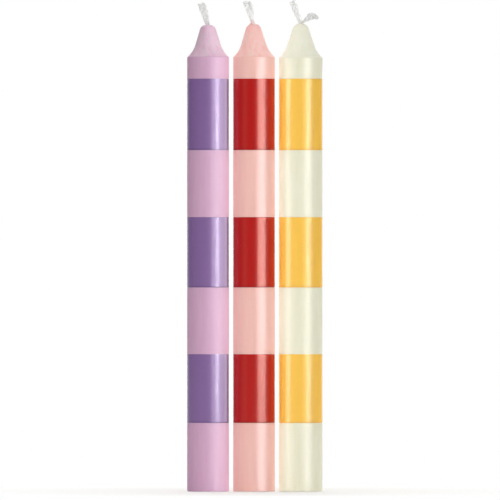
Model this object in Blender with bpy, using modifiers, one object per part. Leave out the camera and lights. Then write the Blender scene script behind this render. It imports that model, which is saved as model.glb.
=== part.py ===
"""Three striped dinner candles that stand side by side, in metres with +Z up.

Each candle is a pressed paraffin core on a braided cotton wick, under a coat of pale coloured wax
with a turned nose and a cut butt. Three glossy bands of a stronger colour are let into the coat,
flush with it. The candles stand on Z = 0 in a row along X, centred on the origin, and the wicks
are seen broadside from -Y.
"""

from dataclasses import dataclass
from math import acos, atan2, cos, hypot, radians, sin, tan, tau

import bmesh
import bpy
from mathutils import Vector

# Butt diameters: all three fit the socket of an ordinary dinner candle holder
LAVENDER_DIAMETER = 0.0183
PINK_DIAMETER = 0.0183
IVORY_DIAMETER = 0.0191

# Cut butt to wax tip is eight inches, and how much each candle is trimmed over or under it
CANDLE_HEIGHT = 0.2032
LAVENDER_TRIM = -0.0003
PINK_TRIM = 0
IVORY_TRIM = 0.0001

# Air between neighbouring candles
LAVENDER_PINK_AIR = 0.0017
PINK_IVORY_AIR = 0.0016

# The nose stands on the shoulder, and its straight cone would end in a flat tip this wide
LAVENDER_NOSE_HEIGHT = 0.0140
PINK_NOSE_HEIGHT = 0.0143
IVORY_NOSE_HEIGHT = 0.0147
LAVENDER_TIP_DIAMETER = 0.0058
PINK_TIP_DIAMETER = 0.0054
IVORY_TIP_DIAMETER = 0.0056

# The hollow flare sweeps in from the shoulder, whose edge is only just broken
FLARE_RADIUS = 0.0128
SHOULDER_ANGLE = radians(48)
SHOULDER_ROUNDING = 0.0004
TIP_ROUNDING = 0.0024

# Heights of the stripes, from the butt upwards
BUTT_STRIPE = 0.0298
LOW_BAND = 0.0299
LOW_STRIPE = 0.0290
MIDDLE_BAND = 0.0306
HIGH_STRIPE = 0.0291
HIGH_BAND = 0.0311

# Walls of the dipped layers, and the gap that parts them from what they cling to
COAT_WALL = 0.0016
BAND_WALL = 0.0005
FIT_GAP = 0.0003
BUTT_CHAMFER = 0.0003

# The core tapers from under the shoulder to a ring round the wick, which the coat covers
CORE_TAPER_DROP = 0.0040
CORE_TIP_WALL = 0.0008
TIP_COVER = 0.0040

# The wick is pressed round in its bore and spreads out flat above the tip
WICK_DIAMETER = 0.0020
WICK_THICKNESS = 0.0013
WICK_FLAT_ABOVE_TIP = 0.0020
WICK_SETBACK = 0.0005

# How far each wick's end stands above the tip
LAVENDER_WICK_RISE = 0.0098
PINK_WICK_RISE = 0.0101
IVORY_WICK_RISE = 0.0100

# Free end of each wick: right, back and up from the tip as shares of its rise, then how many
# times its bore width the braid has spread to
LAVENDER_WICK = (
    (0.00, 0.00, -0.10, 1.00),
    (0.00, 0.00, 0.02, 1.00),
    (-0.06, 0.01, 0.16, 1.25),
    (-0.13, 0.03, 0.47, 1.80),
    (-0.23, 0.04, 0.75, 1.85),
    (-0.30, 0.02, 1.00, 1.45),
)
PINK_WICK = (
    (0.00, 0.00, -0.10, 1.00),
    (0.00, 0.00, 0.02, 1.00),
    (-0.06, -0.02, 0.12, 1.00),
    (-0.10, -0.04, 0.27, 1.25),
    (-0.20, -0.06, 0.54, 1.80),
    (-0.26, -0.03, 0.81, 1.75),
    (-0.34, 0.02, 1.00, 1.55),
)
IVORY_WICK = (
    (0.00, 0.00, -0.10, 1.00),
    (0.00, 0.00, 0.02, 1.00),
    (-0.02, 0.01, 0.15, 1.10),
    (-0.09, 0.03, 0.35, 1.40),
    (-0.19, 0.03, 0.60, 1.60),
    (-0.35, 0.00, 1.00, 1.60),
)
# The ply that has come out of the ivory candle's braid and hangs over to the right
IVORY_LOOSE_PLY = (
    (0.04, 0.00, 0.04, 0.60),
    (0.18, -0.02, 0.14, 0.70),
    (0.33, -0.03, 0.25, 1.05),
    (0.48, -0.02, 0.33, 1.30),
    (0.62, 0.01, 0.30, 1.00),
    (0.78, 0.03, 0.26, 0.45),
)

# Fineness of the mesh
SIDES = 32
WICK_SIDES = 12
STEPS_PER_SPAN = 4
FLARE_STEPS = 7
ROUNDING_STEPS = 3

CANDLES = bpy.data.collections.new("striped_candles")
CUTTERS = bpy.data.collections.new("cutters")


@dataclass(frozen=True)
class Candle:
    """The sizes and colours that differ from one candle to the next."""

    name: str
    diameter: float
    height: float
    nose_height: float
    tip_diameter: float
    wick_rise: float
    wick: tuple
    loose_ply: tuple
    coat_colour: str
    band_colour: str

    @property
    def radius(self):
        return self.diameter / 2

    @property
    def shoulder(self):
        """Height of the edge between the cylinder and the nose."""
        return self.height - self.nose_height


LAVENDER = Candle(
    name="lavender",
    diameter=LAVENDER_DIAMETER,
    height=CANDLE_HEIGHT + LAVENDER_TRIM,
    nose_height=LAVENDER_NOSE_HEIGHT,
    tip_diameter=LAVENDER_TIP_DIAMETER,
    wick_rise=LAVENDER_WICK_RISE,
    wick=LAVENDER_WICK,
    loose_ply=(),
    coat_colour="D5B0C9",
    band_colour="8A6A9A",
)
PINK = Candle(
    name="pink",
    diameter=PINK_DIAMETER,
    height=CANDLE_HEIGHT + PINK_TRIM,
    nose_height=PINK_NOSE_HEIGHT,
    tip_diameter=PINK_TIP_DIAMETER,
    wick_rise=PINK_WICK_RISE,
    wick=PINK_WICK,
    loose_ply=(),
    coat_colour="EFB9AE",
    band_colour="AB151C",
)
IVORY = Candle(
    name="ivory",
    diameter=IVORY_DIAMETER,
    height=CANDLE_HEIGHT + IVORY_TRIM,
    nose_height=IVORY_NOSE_HEIGHT,
    tip_diameter=IVORY_TIP_DIAMETER,
    wick_rise=IVORY_WICK_RISE,
    wick=IVORY_WICK,
    loose_ply=IVORY_LOOSE_PLY,
    coat_colour="EBE8D0",
    band_colour="F8C04B",
)
CORE_COLOUR = "F2EFE4"
COTTON_COLOUR = "F4F2EC"

CORE_ROUGHNESS = 0.60
COAT_ROUGHNESS = 0.40
BAND_ROUGHNESS = 0.18
COTTON_ROUGHNESS = 0.90


def clear_scene():
    for obj in list(bpy.data.objects):
        bpy.data.objects.remove(obj, do_unlink=True)
    bpy.context.scene.collection.children.link(CANDLES)
    bpy.context.scene.collection.children.link(CUTTERS)


def linear(hex_colour):
    """An sRGB hex colour as the linear values that a shader takes."""
    channels = [int(hex_colour[i : i + 2], 16) / 255 for i in (0, 2, 4)]
    return [c / 12.92 if c <= 0.04045 else ((c + 0.055) / 1.055) ** 2.4 for c in channels] + [1]


def material(name, hex_colour, roughness):
    """A plain, non-metallic finish."""
    made = bpy.data.materials.new(name)
    made.use_nodes = True
    shader = made.node_tree.nodes["Principled BSDF"]
    shader.inputs["Base Color"].default_value = linear(hex_colour)
    shader.inputs["Roughness"].default_value = roughness
    shader.inputs["Metallic"].default_value = 0
    return made


def make_plain_mesh(obj):
    """Turns the object's modifiers into mesh, and smooths all but its hard edges."""
    graph = bpy.context.evaluated_depsgraph_get()
    made = bpy.data.meshes.new_from_object(obj.evaluated_get(graph))
    obj.modifiers.clear()
    obj.data = made
    made.shade_smooth()
    made.set_sharp_from_angle(angle=radians(35))


def turned(name, loop):
    """A closed loop of (radius, height), outer side first and downwards, turned about Z."""
    mesh = bpy.data.meshes.new(name)
    edges = [(i, (i + 1) % len(loop)) for i in range(len(loop))]
    mesh.from_pydata([(r, 0, z) for r, z in loop], edges, [])
    obj = bpy.data.objects.new(name, mesh)
    CANDLES.objects.link(obj)
    screw = obj.modifiers.new("turn", "SCREW")
    screw.axis = "Z"
    screw.angle = tau
    screw.steps = SIDES
    screw.render_steps = SIDES
    screw.use_merge_vertices = True
    screw.merge_threshold = 0.000001
    make_plain_mesh(obj)
    return obj


def arc(centre, radius, start, end, steps):
    """Points (radius, height) round a centre, with both ends; angles are from +R towards +Z."""
    angles = [start + (end - start) * i / steps for i in range(steps + 1)]
    return [(centre[0] + radius * cos(a), centre[1] + radius * sin(a)) for a in angles]


def nose_profile(candle, hole_radius):
    """The nose's outside from the wick hole down to the cylinder.

    The flare is an arc about a centre outside the wax. It turns from the shoulder's angle until
    it runs tangent into the straight cone, which is rounded off at the tip.
    """
    tip_radius = candle.tip_diameter / 2
    centre = (
        candle.radius + FLARE_RADIUS * cos(SHOULDER_ANGLE),
        candle.shoulder + FLARE_RADIUS * sin(SHOULDER_ANGLE),
    )
    across = centre[0] - tip_radius
    up = candle.height - centre[1]
    cone_angle = acos(FLARE_RADIUS / hypot(across, up)) - atan2(up, across)

    rounding = (
        tip_radius + TIP_ROUNDING * (tan(cone_angle) - 1 / cos(cone_angle)),
        candle.height - TIP_ROUNDING,
    )
    last = acos(max(0, (hole_radius - rounding[0]) / TIP_ROUNDING))
    points = arc(rounding, TIP_ROUNDING, last, cone_angle, ROUNDING_STEPS + 1)
    if rounding[0] > hole_radius:
        points.insert(0, (hole_radius, candle.height))

    broken = SHOULDER_ROUNDING * tan(SHOULDER_ANGLE / 2)
    flare_end = SHOULDER_ANGLE - broken / FLARE_RADIUS
    points += arc(centre, -FLARE_RADIUS, cone_angle, flare_end, FLARE_STEPS)
    edge = (candle.radius - SHOULDER_ROUNDING, candle.shoulder - broken)
    points += arc(edge, SHOULDER_ROUNDING, SHOULDER_ANGLE, 0, ROUNDING_STEPS)[1:]
    return points


def core_taper(candle, gap):
    """The core's shoulder and top, from the top down, or the coat's inside when gap is added."""
    top = (WICK_DIAMETER / 2 + FIT_GAP + CORE_TIP_WALL + gap, candle.height - TIP_COVER + gap)
    foot = (candle.radius - COAT_WALL - FIT_GAP + gap, candle.shoulder - CORE_TAPER_DROP)
    return [top, foot]


def band_spans():
    """Name, lower and upper edge of each band."""
    low = BUTT_STRIPE
    middle = low + LOW_BAND + LOW_STRIPE
    high = middle + MIDDLE_BAND + HIGH_STRIPE
    return (
        ("low", low, low + LOW_BAND),
        ("middle", middle, middle + MIDDLE_BAND),
        ("high", high, high + HIGH_BAND),
    )


def make_core(candle):
    bore = WICK_DIAMETER / 2 + FIT_GAP
    top, foot = core_taper(candle, 0)
    loop = [top, foot, (foot[0], 0), (bore, 0), (bore, top[1])]
    return turned(f"{candle.name}_core", loop)


def make_coat(candle):
    """The coloured shell: turned nose, a shallow seat for each band, open at the butt."""
    hole = WICK_DIAMETER / 2 + FIT_GAP
    seat = candle.radius - BAND_WALL - FIT_GAP
    loop = nose_profile(candle, hole)
    for _, bottom, top in reversed(band_spans()):
        loop += [(candle.radius, top), (seat, top), (seat, bottom), (candle.radius, bottom)]
    loop += [(candle.radius, BUTT_CHAMFER), (candle.radius - BUTT_CHAMFER, 0)]
    inner_top, inner_foot = core_taper(candle, FIT_GAP)
    loop += [(inner_foot[0], 0), inner_foot, inner_top, (hole, inner_top[1])]
    return turned(f"{candle.name}_coat", loop)


def make_band(candle, place, bottom, top):
    """A sleeve of gloss wax that fills its seat, less the gap at its ends and its back."""
    outer = candle.radius
    inner = candle.radius - BAND_WALL
    low = bottom + FIT_GAP / 2
    high = top - FIT_GAP / 2
    return turned(f"{candle.name}_band_{place}", [(outer, high), (outer, low), (inner, low), (inner, high)])


def smooth_route(points):
    """Catmull-Rom curve through the points, each with its width as a last value."""
    rows = [Vector(p) for p in points]
    rows = [2 * rows[0] - rows[1]] + rows + [2 * rows[-1] - rows[-2]]
    found = []
    for a, b, c, d in zip(rows, rows[1:], rows[2:], rows[3:]):
        for step in range(STEPS_PER_SPAN):
            t = step / STEPS_PER_SPAN
            found.append(
                0.5 * (2 * b + (c - a) * t + (2 * a - 5 * b + 4 * c - d) * t**2 + (3 * b - a - 3 * c + d) * t**3)
            )
    return found + [rows[-2]]


def strand(name, stations, collection):
    """A loft of ellipses: each station is its centre, half width and half thickness."""
    centres = [centre for centre, _, _ in stations]
    shape = bmesh.new()
    rings = []
    for i, (centre, half_width, half_thickness) in enumerate(stations):
        along = (centres[min(i + 1, len(centres) - 1)] - centres[max(i - 1, 0)]).normalized()
        across = Vector((0, 1, 0)).cross(along).normalized()
        through = along.cross(across)
        ring = []
        for side in range(WICK_SIDES):
            angle = tau * side / WICK_SIDES
            offset = across * half_width * cos(angle) + through * half_thickness * sin(angle)
            ring.append(shape.verts.new(centre + offset))
        rings.append(ring)
    for lower, upper in zip(rings, rings[1:]):
        for side in range(WICK_SIDES):
            other = (side + 1) % WICK_SIDES
            shape.faces.new((lower[side], lower[other], upper[other], upper[side]))
    shape.faces.new(reversed(rings[0]))
    shape.faces.new(rings[-1])
    mesh = bpy.data.meshes.new(name)
    shape.to_mesh(mesh)
    shape.free()
    obj = bpy.data.objects.new(name, mesh)
    collection.objects.link(obj)
    return obj


def free_stations(route, candle):
    """The free end's stations: round at the tip, and flat once the braid is clear of it."""
    round_half = WICK_DIAMETER / 2
    flat_half = WICK_THICKNESS / 2
    tip = Vector((0, 0, candle.height))
    stations = []
    for x, y, z, spread in smooth_route(route):
        centre = tip + candle.wick_rise * Vector((x, y, z))
        flatness = max(0, min(1, candle.wick_rise * z / WICK_FLAT_ABOVE_TIP))
        half_width = round_half * spread
        half_thickness = min(half_width, round_half + (flat_half - round_half) * flatness)
        stations.append((centre, half_width, half_thickness))
    return stations


def make_wick(candle):
    """The braid, round and straight in its bore, then free, with any ply that has come loose."""
    foot = (Vector((0, 0, WICK_SETBACK)), WICK_DIAMETER / 2, WICK_DIAMETER / 2)
    name = f"{candle.name}_wick"
    wick = strand(name, [foot] + free_stations(candle.wick, candle), CANDLES)
    if candle.loose_ply:
        ply = strand(name + "_ply", free_stations(candle.loose_ply, candle), CUTTERS)
        ply.hide_render = True
        ply.display_type = "WIRE"
        union = wick.modifiers.new("ply", "BOOLEAN")
        union.operation = "UNION"
        union.solver = "EXACT"
        union.object = ply
    make_plain_mesh(wick)
    return wick


def make_candle(candle, x):
    """All of one candle's pieces, parented to an empty on its axis at the butt."""
    stand = bpy.data.objects.new(f"{candle.name}_candle", None)
    stand.empty_display_size = candle.radius
    stand.location = (x, 0, 0)
    CANDLES.objects.link(stand)

    wax = material(f"{candle.name}_wax", candle.coat_colour, COAT_ROUGHNESS)
    gloss = material(f"{candle.name}_gloss_wax", candle.band_colour, BAND_ROUGHNESS)
    pieces = [
        (make_wick(candle), bpy.data.materials["bleached_cotton"]),
        (make_core(candle), bpy.data.materials["undyed_paraffin"]),
        (make_coat(candle), wax),
    ]
    for place, bottom, top in band_spans():
        pieces.append((make_band(candle, place, bottom, top), gloss))
    for piece, finish in pieces:
        piece.parent = stand
        piece.data.materials.clear()
        piece.data.materials.append(finish)


def make_row():
    """The three candles from left to right, with the row's middle over the origin."""
    material("bleached_cotton", COTTON_COLOUR, COTTON_ROUGHNESS)
    material("undyed_paraffin", CORE_COLOUR, CORE_ROUGHNESS)
    length = LAVENDER_DIAMETER + LAVENDER_PINK_AIR + PINK_DIAMETER + PINK_IVORY_AIR + IVORY_DIAMETER
    left = -length / 2
    for candle, air in ((LAVENDER, LAVENDER_PINK_AIR), (PINK, PINK_IVORY_AIR), (IVORY, 0)):
        make_candle(candle, left + candle.radius)
        left += candle.diameter + air


clear_scene()
make_row()
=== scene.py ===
"""The looks of three striped dinner candles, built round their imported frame.

All sizes are in metres in the frame's axes: +Z up the candles, +X along the row from the lavender
candle to the ivory one, and -Y towards the camera.
"""

from math import acos, atan2, cos, exp, hypot, radians, sin, tan, tau

import bmesh
import bpy
from mathutils import Matrix, Vector


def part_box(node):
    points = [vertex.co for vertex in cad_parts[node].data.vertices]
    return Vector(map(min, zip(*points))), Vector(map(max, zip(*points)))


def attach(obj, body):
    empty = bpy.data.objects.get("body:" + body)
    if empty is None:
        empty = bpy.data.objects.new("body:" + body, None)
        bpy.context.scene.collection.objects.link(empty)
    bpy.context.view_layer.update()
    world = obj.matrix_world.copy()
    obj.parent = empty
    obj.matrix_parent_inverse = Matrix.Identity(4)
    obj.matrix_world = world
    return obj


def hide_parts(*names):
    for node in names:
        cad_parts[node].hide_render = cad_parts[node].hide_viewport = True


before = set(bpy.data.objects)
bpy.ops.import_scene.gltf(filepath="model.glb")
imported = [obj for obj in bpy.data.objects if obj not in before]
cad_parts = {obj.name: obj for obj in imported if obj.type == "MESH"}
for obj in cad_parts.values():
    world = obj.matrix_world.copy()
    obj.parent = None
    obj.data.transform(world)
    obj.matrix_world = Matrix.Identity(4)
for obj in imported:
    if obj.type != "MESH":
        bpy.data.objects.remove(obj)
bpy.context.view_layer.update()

# Camera
# It stands level in front of the row, so far off that the sides of the candles stay parallel and
# the three butts stay in line. Its picture takes in a square of the row's plane.
CAMERA_AWAY = 6.0
PICTURE_WIDTH = 0.2176
PICTURE_MIDDLE = Vector((-0.0021, 0, 0.1050))
SENSOR_WIDTH_MM = 36

camera = bpy.data.objects.new("camera", bpy.data.cameras.new("camera"))
bpy.context.scene.collection.objects.link(camera)
camera.location = PICTURE_MIDDLE - Vector((0, CAMERA_AWAY, 0))
camera.rotation_euler = (radians(90), 0, 0)
camera.data.sensor_width = SENSOR_WIDTH_MM
camera.data.lens = SENSOR_WIDTH_MM * CAMERA_AWAY / PICTURE_WIDTH
camera.data.clip_start = 0.1
camera.data.clip_end = 2 * CAMERA_AWAY
bpy.context.scene.camera = camera

# Cores
# Each candle is built up over a rod of undyed paraffin, pressed from chilled powder round its
# wick and coned under the nose. Only its end shows, in the butt, where the saw left it flat and
# chalky.
CANDLES = ("lavender", "pink", "ivory")
SIDES = 192
SHARP_FROM = radians(40)
CORE_COLOUR = "F2EFE4"
CORE_GRAIN_COLOUR = "E2DDCB"
CORE_ROUGHNESS = 0.62
CORE_GRAIN = 0.0006
CORE_GRAIN_DEPTH = 0.00004
PARAFFIN_IOR = 1.44
CORE_LAYER_GAP = 0.00002
# The waver of turned wax: its length, the radius it is read at round the girth, and how far it is
# read up the candle for each metre of height
WAVE_LENGTH = 0.006
WAVE_GIRTH_RADIUS = 0.009
WAVE_RISE_SHARE = 0.2


def linear(hex_colour):
    """An sRGB hex colour as the linear values that a shader takes."""
    channels = [int(hex_colour[i : i + 2], 16) / 255 for i in (0, 2, 4)]
    return [c / 12.92 if c <= 0.04045 else ((c + 0.055) / 1.055) ** 2.4 for c in channels] + [1]


def add_node(tree, kind, inputs=None, **settings):
    """Adds a node with its settings; an input is a value, a socket, or a node whose result it takes."""
    node = tree.nodes.new(kind)
    for name, value in settings.items():
        setattr(node, name, value)
    for key, value in (inputs or {}).items():
        if isinstance(key, int):
            socket = node.inputs[key]
        else:
            socket = next(s for s in node.inputs if s.name == key and s.enabled)
        if isinstance(value, bpy.types.Node):
            value = next(s for s in value.outputs if s.enabled)
        if isinstance(value, bpy.types.NodeSocket):
            tree.links.new(value, socket)
        else:
            socket.default_value = value
    return node


def new_finish(name):
    """An empty material: its tree, and the node that the shader goes to."""
    made = bpy.data.materials.new(name)
    made.use_nodes = True
    made.node_tree.nodes.clear()
    return made, made.node_tree, made.node_tree.nodes.new("ShaderNodeOutputMaterial")


def undyed_paraffin():
    """Pressed paraffin: white, matt and faintly grainy, since its beads of wax never quite melted."""
    made, tree, out = new_finish("undyed_pressed_paraffin")
    place = add_node(tree, "ShaderNodeTexCoord").outputs["Object"]
    grain = add_node(tree, "ShaderNodeTexVoronoi", {"Vector": place, "Scale": 1 / CORE_GRAIN})
    colour = add_node(
        tree,
        "ShaderNodeMix",
        {"Factor": grain.outputs["Distance"], "A": linear(CORE_COLOUR), "B": linear(CORE_GRAIN_COLOUR)},
        data_type="RGBA",
    )
    bump = add_node(
        tree,
        "ShaderNodeBump",
        {"Height": grain.outputs["Distance"], "Strength": 0.5, "Distance": CORE_GRAIN_DEPTH},
    )
    shader = add_node(
        tree,
        "ShaderNodeBsdfPrincipled",
        {"Base Color": colour, "Roughness": CORE_ROUGHNESS, "IOR": PARAFFIN_IOR, "Normal": bump},
    )
    tree.links.new(shader.outputs["BSDF"], out.inputs["Surface"])
    return made


def new_geometry_tree(name, sockets):
    """A geometry node group with its named inputs, a geometry in and a geometry out."""
    tree = bpy.data.node_groups.new(name, "GeometryNodeTree")
    tree.interface.new_socket("Geometry", in_out="OUTPUT", socket_type="NodeSocketGeometry")
    tree.interface.new_socket("Geometry", in_out="INPUT", socket_type="NodeSocketGeometry")
    for label, kind in sockets:
        tree.interface.new_socket(label, in_out="INPUT", socket_type=kind)
    return tree, tree.nodes.new("NodeGroupInput").outputs, tree.nodes.new("NodeGroupOutput")


def lathe_tree():
    """Turns a wire loop of (radius, 0, height) about Z, and lets its skin waver as dipped wax does.

    The loop carries three values at each point: wave is how far the skin may stand in or out
    there, nose is where the finish changes (on a band, where its foot is painted darker as shade), and lean
    is its share of the shift at the tip.
    """
    tree, given, out = new_geometry_tree(
        "turned_wax",
        [
            ("Sides", "NodeSocketInt"),
            ("Wave Length", "NodeSocketFloat"),
            ("Wave Seed", "NodeSocketFloat"),
            ("Tip Shift", "NodeSocketVector"),
            ("Wax", "NodeSocketMaterial"),
        ],
    )
    position = add_node(tree, "GeometryNodeInputPosition")
    position = add_node(tree, "ShaderNodeSeparateXYZ", {"Vector": position})
    profile = given["Geometry"]
    for label, axis in (("turn_radius", "X"), ("turn_height", "Z")):
        profile = add_node(
            tree,
            "GeometryNodeStoreNamedAttribute",
            {"Geometry": profile, "Name": label, "Value": position.outputs[axis]},
        ).outputs["Geometry"]
    profile = add_node(tree, "GeometryNodeMeshToCurve", {"Mesh": profile})

    index = add_node(tree, "GeometryNodeInputIndex")
    share = add_node(tree, "ShaderNodeMath", {0: index, 1: given["Sides"]}, operation="DIVIDE")
    turn = add_node(tree, "ShaderNodeMath", {0: share, 1: tau}, operation="MULTIPLY")
    circle = add_node(
        tree, "GeometryNodeCurvePrimitiveCircle", {"Resolution": given["Sides"]}, mode="RADIUS"
    )
    circle = add_node(
        tree, "GeometryNodeStoreNamedAttribute", {"Geometry": circle, "Name": "turn_angle", "Value": turn}
    )
    shell = add_node(tree, "GeometryNodeCurveToMesh", {"Curve": circle, "Profile Curve": profile})

    radius, height, angle, wave, lean = (
        add_node(tree, "GeometryNodeInputNamedAttribute", {"Name": label}, data_type="FLOAT")
        for label in ("turn_radius", "turn_height", "turn_angle", "wave", "lean")
    )
    right = add_node(tree, "ShaderNodeMath", {0: angle}, operation="COSINE")
    back = add_node(tree, "ShaderNodeMath", {0: angle}, operation="SINE")
    outward = add_node(tree, "ShaderNodeCombineXYZ", {"X": right, "Y": back})

    # The waver runs up the candle: dips leave it long in height and short round the girth
    round_place = add_node(
        tree, "ShaderNodeVectorMath", {0: outward, "Scale": WAVE_GIRTH_RADIUS}, operation="SCALE"
    )
    up_place = add_node(tree, "ShaderNodeMath", {0: height, 1: WAVE_RISE_SHARE}, operation="MULTIPLY")
    up_place = add_node(tree, "ShaderNodeCombineXYZ", {"Z": up_place})
    place = add_node(tree, "ShaderNodeVectorMath", {0: round_place, 1: up_place}, operation="ADD")
    pitch = add_node(tree, "ShaderNodeMath", {0: 1, 1: given["Wave Length"]}, operation="DIVIDE")
    noise = add_node(
        tree,
        "ShaderNodeTexNoise",
        {"Vector": place, "W": given["Wave Seed"], "Scale": pitch, "Detail": 1},
        noise_dimensions="4D",
    )
    swing = add_node(
        tree,
        "ShaderNodeMapRange",
        {"Value": noise.outputs[0], "From Min": 0.25, "From Max": 0.75, "To Min": -1},
    )
    swing = add_node(tree, "ShaderNodeMath", {0: swing, 1: wave}, operation="MULTIPLY")
    reach = add_node(tree, "ShaderNodeMath", {0: radius, 1: swing}, operation="ADD")

    ring = add_node(tree, "ShaderNodeVectorMath", {0: outward, "Scale": reach}, operation="SCALE")
    rise = add_node(tree, "ShaderNodeCombineXYZ", {"Z": height})
    there = add_node(tree, "ShaderNodeVectorMath", {0: ring, 1: rise}, operation="ADD")
    shift = add_node(
        tree, "ShaderNodeVectorMath", {0: given["Tip Shift"], "Scale": lean}, operation="SCALE"
    )
    there = add_node(tree, "ShaderNodeVectorMath", {0: there, 1: shift}, operation="ADD")
    shell = add_node(tree, "GeometryNodeSetPosition", {"Geometry": shell, "Position": there})
    for label in ("turn_radius", "turn_height", "turn_angle", "wave", "lean"):
        shell = add_node(tree, "GeometryNodeRemoveAttribute", {"Geometry": shell, "Name": label})
    shell = add_node(tree, "GeometryNodeRealizeInstances", {"Geometry": shell})
    shell = add_node(tree, "GeometryNodeSetMaterial", {"Geometry": shell, "Material": given["Wax"]})
    tree.links.new(shell.outputs["Geometry"], out.inputs["Geometry"])
    return tree


def grown(name, mesh, tree, values):
    """Runs a geometry tree on a mesh and keeps the result as the plain mesh of a new object."""
    piece = bpy.data.objects.new(name, mesh)
    bpy.context.scene.collection.objects.link(piece)
    modifier = piece.modifiers.new("grow", "NODES")
    modifier.node_group = tree
    for socket in tree.interface.items_tree:
        if socket.in_out == "INPUT" and socket.name in values:
            modifier[socket.identifier] = values[socket.name]
    graph = bpy.context.evaluated_depsgraph_get()
    made = bpy.data.meshes.new_from_object(piece.evaluated_get(graph))
    made.name = name
    piece.modifiers.clear()
    piece.data = made
    bpy.data.meshes.remove(mesh)
    return piece


def wire(name, runs, labels, closed):
    """A mesh of loose edges along each run of points, whose further values it keeps by label."""
    points, edges, values = [], [], []
    for run in runs:
        first = len(points)
        points += [p[:3] for p in run]
        values += [p[3:] for p in run]
        edges += [(first + i, first + i + 1) for i in range(len(run) - 1)]
        if closed:
            edges.append((first + len(run) - 1, first))
    mesh = bpy.data.meshes.new(name)
    mesh.from_pydata(points, edges, [])
    for column, label in enumerate(labels):
        mesh.attributes.new(label, "FLOAT", "POINT").data.foreach_set("value", [v[column] for v in values])
    return mesh


LATHE = lathe_tree()


def axis_of(candle):
    """Where along the row the candle's axis stands."""
    low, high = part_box(f"{candle}_coat")
    return (low.x + high.x) / 2


def radius_of(candle):
    """The radius of the candle's body in the frame."""
    low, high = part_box(f"{candle}_coat")
    return (high.x - low.x) / 2


def turned(name, candle, loop, wax, tip_shift=0.0):
    """A piece of wax turned about its candle's axis from a loop of (radius, height, wave, nose, lean)."""
    run = [(r, 0, z, *rest) for r, z, *rest in loop]
    mesh = wire(name, [run], ("wave", "nose", "lean"), closed=True)
    values = {
        "Sides": SIDES,
        "Wave Length": WAVE_LENGTH,
        "Wave Seed": float(CANDLES.index(candle)),
        "Tip Shift": (tip_shift, 0, 0),
        "Wax": wax,
    }
    piece = grown(name, mesh, LATHE, values)
    piece.data.transform(Matrix.Translation((axis_of(candle), 0, 0)))
    shape = bmesh.new()
    shape.from_mesh(piece.data)
    bmesh.ops.recalc_face_normals(shape, faces=shape.faces)
    shape.to_mesh(piece.data)
    shape.free()
    piece.data.shade_smooth()
    piece.data.set_sharp_from_angle(angle=SHARP_FROM)
    return piece


# Which pieces share their light: the wax of each candle, all the wicks, and the whole row
LIT_GROUPS = {
    name: bpy.data.collections.new(f"{name}_lit_group") for name in (*CANDLES, "wicks", "row")
}


def dress(piece, candle, node, slot):
    """The piece stands for its CAD node, which it hides, moves with its candle and shares its light: with
    the wicks if its slot is the wick's, else with its candle.
    """
    LIT_GROUPS["wicks" if slot == "wick" else candle].objects.link(piece)
    LIT_GROUPS["row"].objects.link(piece)
    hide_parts(node)
    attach(piece, f"{candle}_candle")


CORE_FINISH = undyed_paraffin()
WICK_RADIUS = 0.0010
COAT_WALL = 0.0016
CORE_TAPER_DROP = 0.0040
CORE_TIP_WALL = 0.0011
CORE_EDGE = 0.00005
SHOULDER_HEIGHT = {"lavender": 0.1889, "pink": 0.1889, "ivory": 0.1886}

for candle in CANDLES:
    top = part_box(f"{candle}_core")[1].z
    outer = radius_of(candle) - COAT_WALL - CORE_LAYER_GAP
    foot = SHOULDER_HEIGHT[candle] - CORE_TAPER_DROP
    cone_top = WICK_RADIUS + CORE_TIP_WALL
    outline = [(cone_top, top), (outer, foot), (outer, CORE_EDGE), (outer - CORE_EDGE, 0)]
    outline += [(WICK_RADIUS, 0), (WICK_RADIUS, top)]
    core_loop = [(r, z, 0, 0, 0) for r, z in outline]
    core = turned(f"{candle}_pressed_core", candle, core_loop, CORE_FINISH)
    dress(core, candle, f"{candle}_core", "core_wax")

# Coats
# The core is dipped in dyed paraffin with a little stearin, which sets satin and faintly cloudy.
# A hot cutter then turns the nose, which stays matt, and the butt is sawn off square.
NOSE_HEIGHT = {"lavender": 0.0140, "pink": 0.0143, "ivory": 0.0147}
TIP_DIAMETER = {"lavender": 0.0058, "pink": 0.0054, "ivory": 0.0056}
FLARE_RADIUS = 0.0128
SHOULDER_ANGLE = radians(48)
SHOULDER_ROUNDING = 0.0006
TIP_ROUNDING = 0.0024
BUTT_CHAMFER = 0.0003
BAND_SEAT = 0.0005
BAND_STANDS_PROUD = 0.00006
# Where the cutter stopped: above this ring the wax is cut and matt, below it dipped and satin
CUT_RING_ABOVE_SHOULDER = 0.0003
CUT_RING_BLEND = 0.0006
CUT_DEPTH = 0.00001
# Wax drawn up the wick: how far it climbs, how wide its foot is, and how far off the axis it stands
CLIMB = {"lavender": 0.0001, "pink": 0.0005, "ivory": 0.0002}
CLIMB_WIDTH = {"lavender": 0.0003, "pink": 0.0006, "ivory": 0.0005}
WICK_OFF_AXIS = {"lavender": -0.0004, "pink": -0.0008, "ivory": 0.0001}
# The whole nose leans after the wick by this share. The rest is in the wax close round the wick.
NOSE_LEAN_SHARE = 0.25
WICK_FOOT_REACH = 0.0014
WICK_FOOT_DEPTH = 0.0005
BODY_WAVE = 0.000007
NOSE_WAVE = 0.00009
NOSE_WAVE_RISE = 0.006
TIP_CALM_DEPTH = 0.0015
BAND_EDGES = ((0.0298, 0.0597), (0.0887, 0.1193), (0.1484, 0.1795))
NOSE_ROWS = {"top": 6, "tip": 14, "cone": 14, "flare": 30, "shoulder": 6}
STRIPE_ROW_HEIGHT = 0.002
FOOT_STRIPE_ROWS = 14
CHAMFER_BULGE = 0.3


def steps(start, end, count):
    """Evenly spaced values from start to end, with both ends."""
    return [start + (end - start) * i / count for i in range(count + 1)]


def ease(value):
    """0 below 0, 1 above 1, and a smooth rise between."""
    t = max(0.0, min(1.0, value))
    return t * t * (3 - 2 * t)


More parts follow.
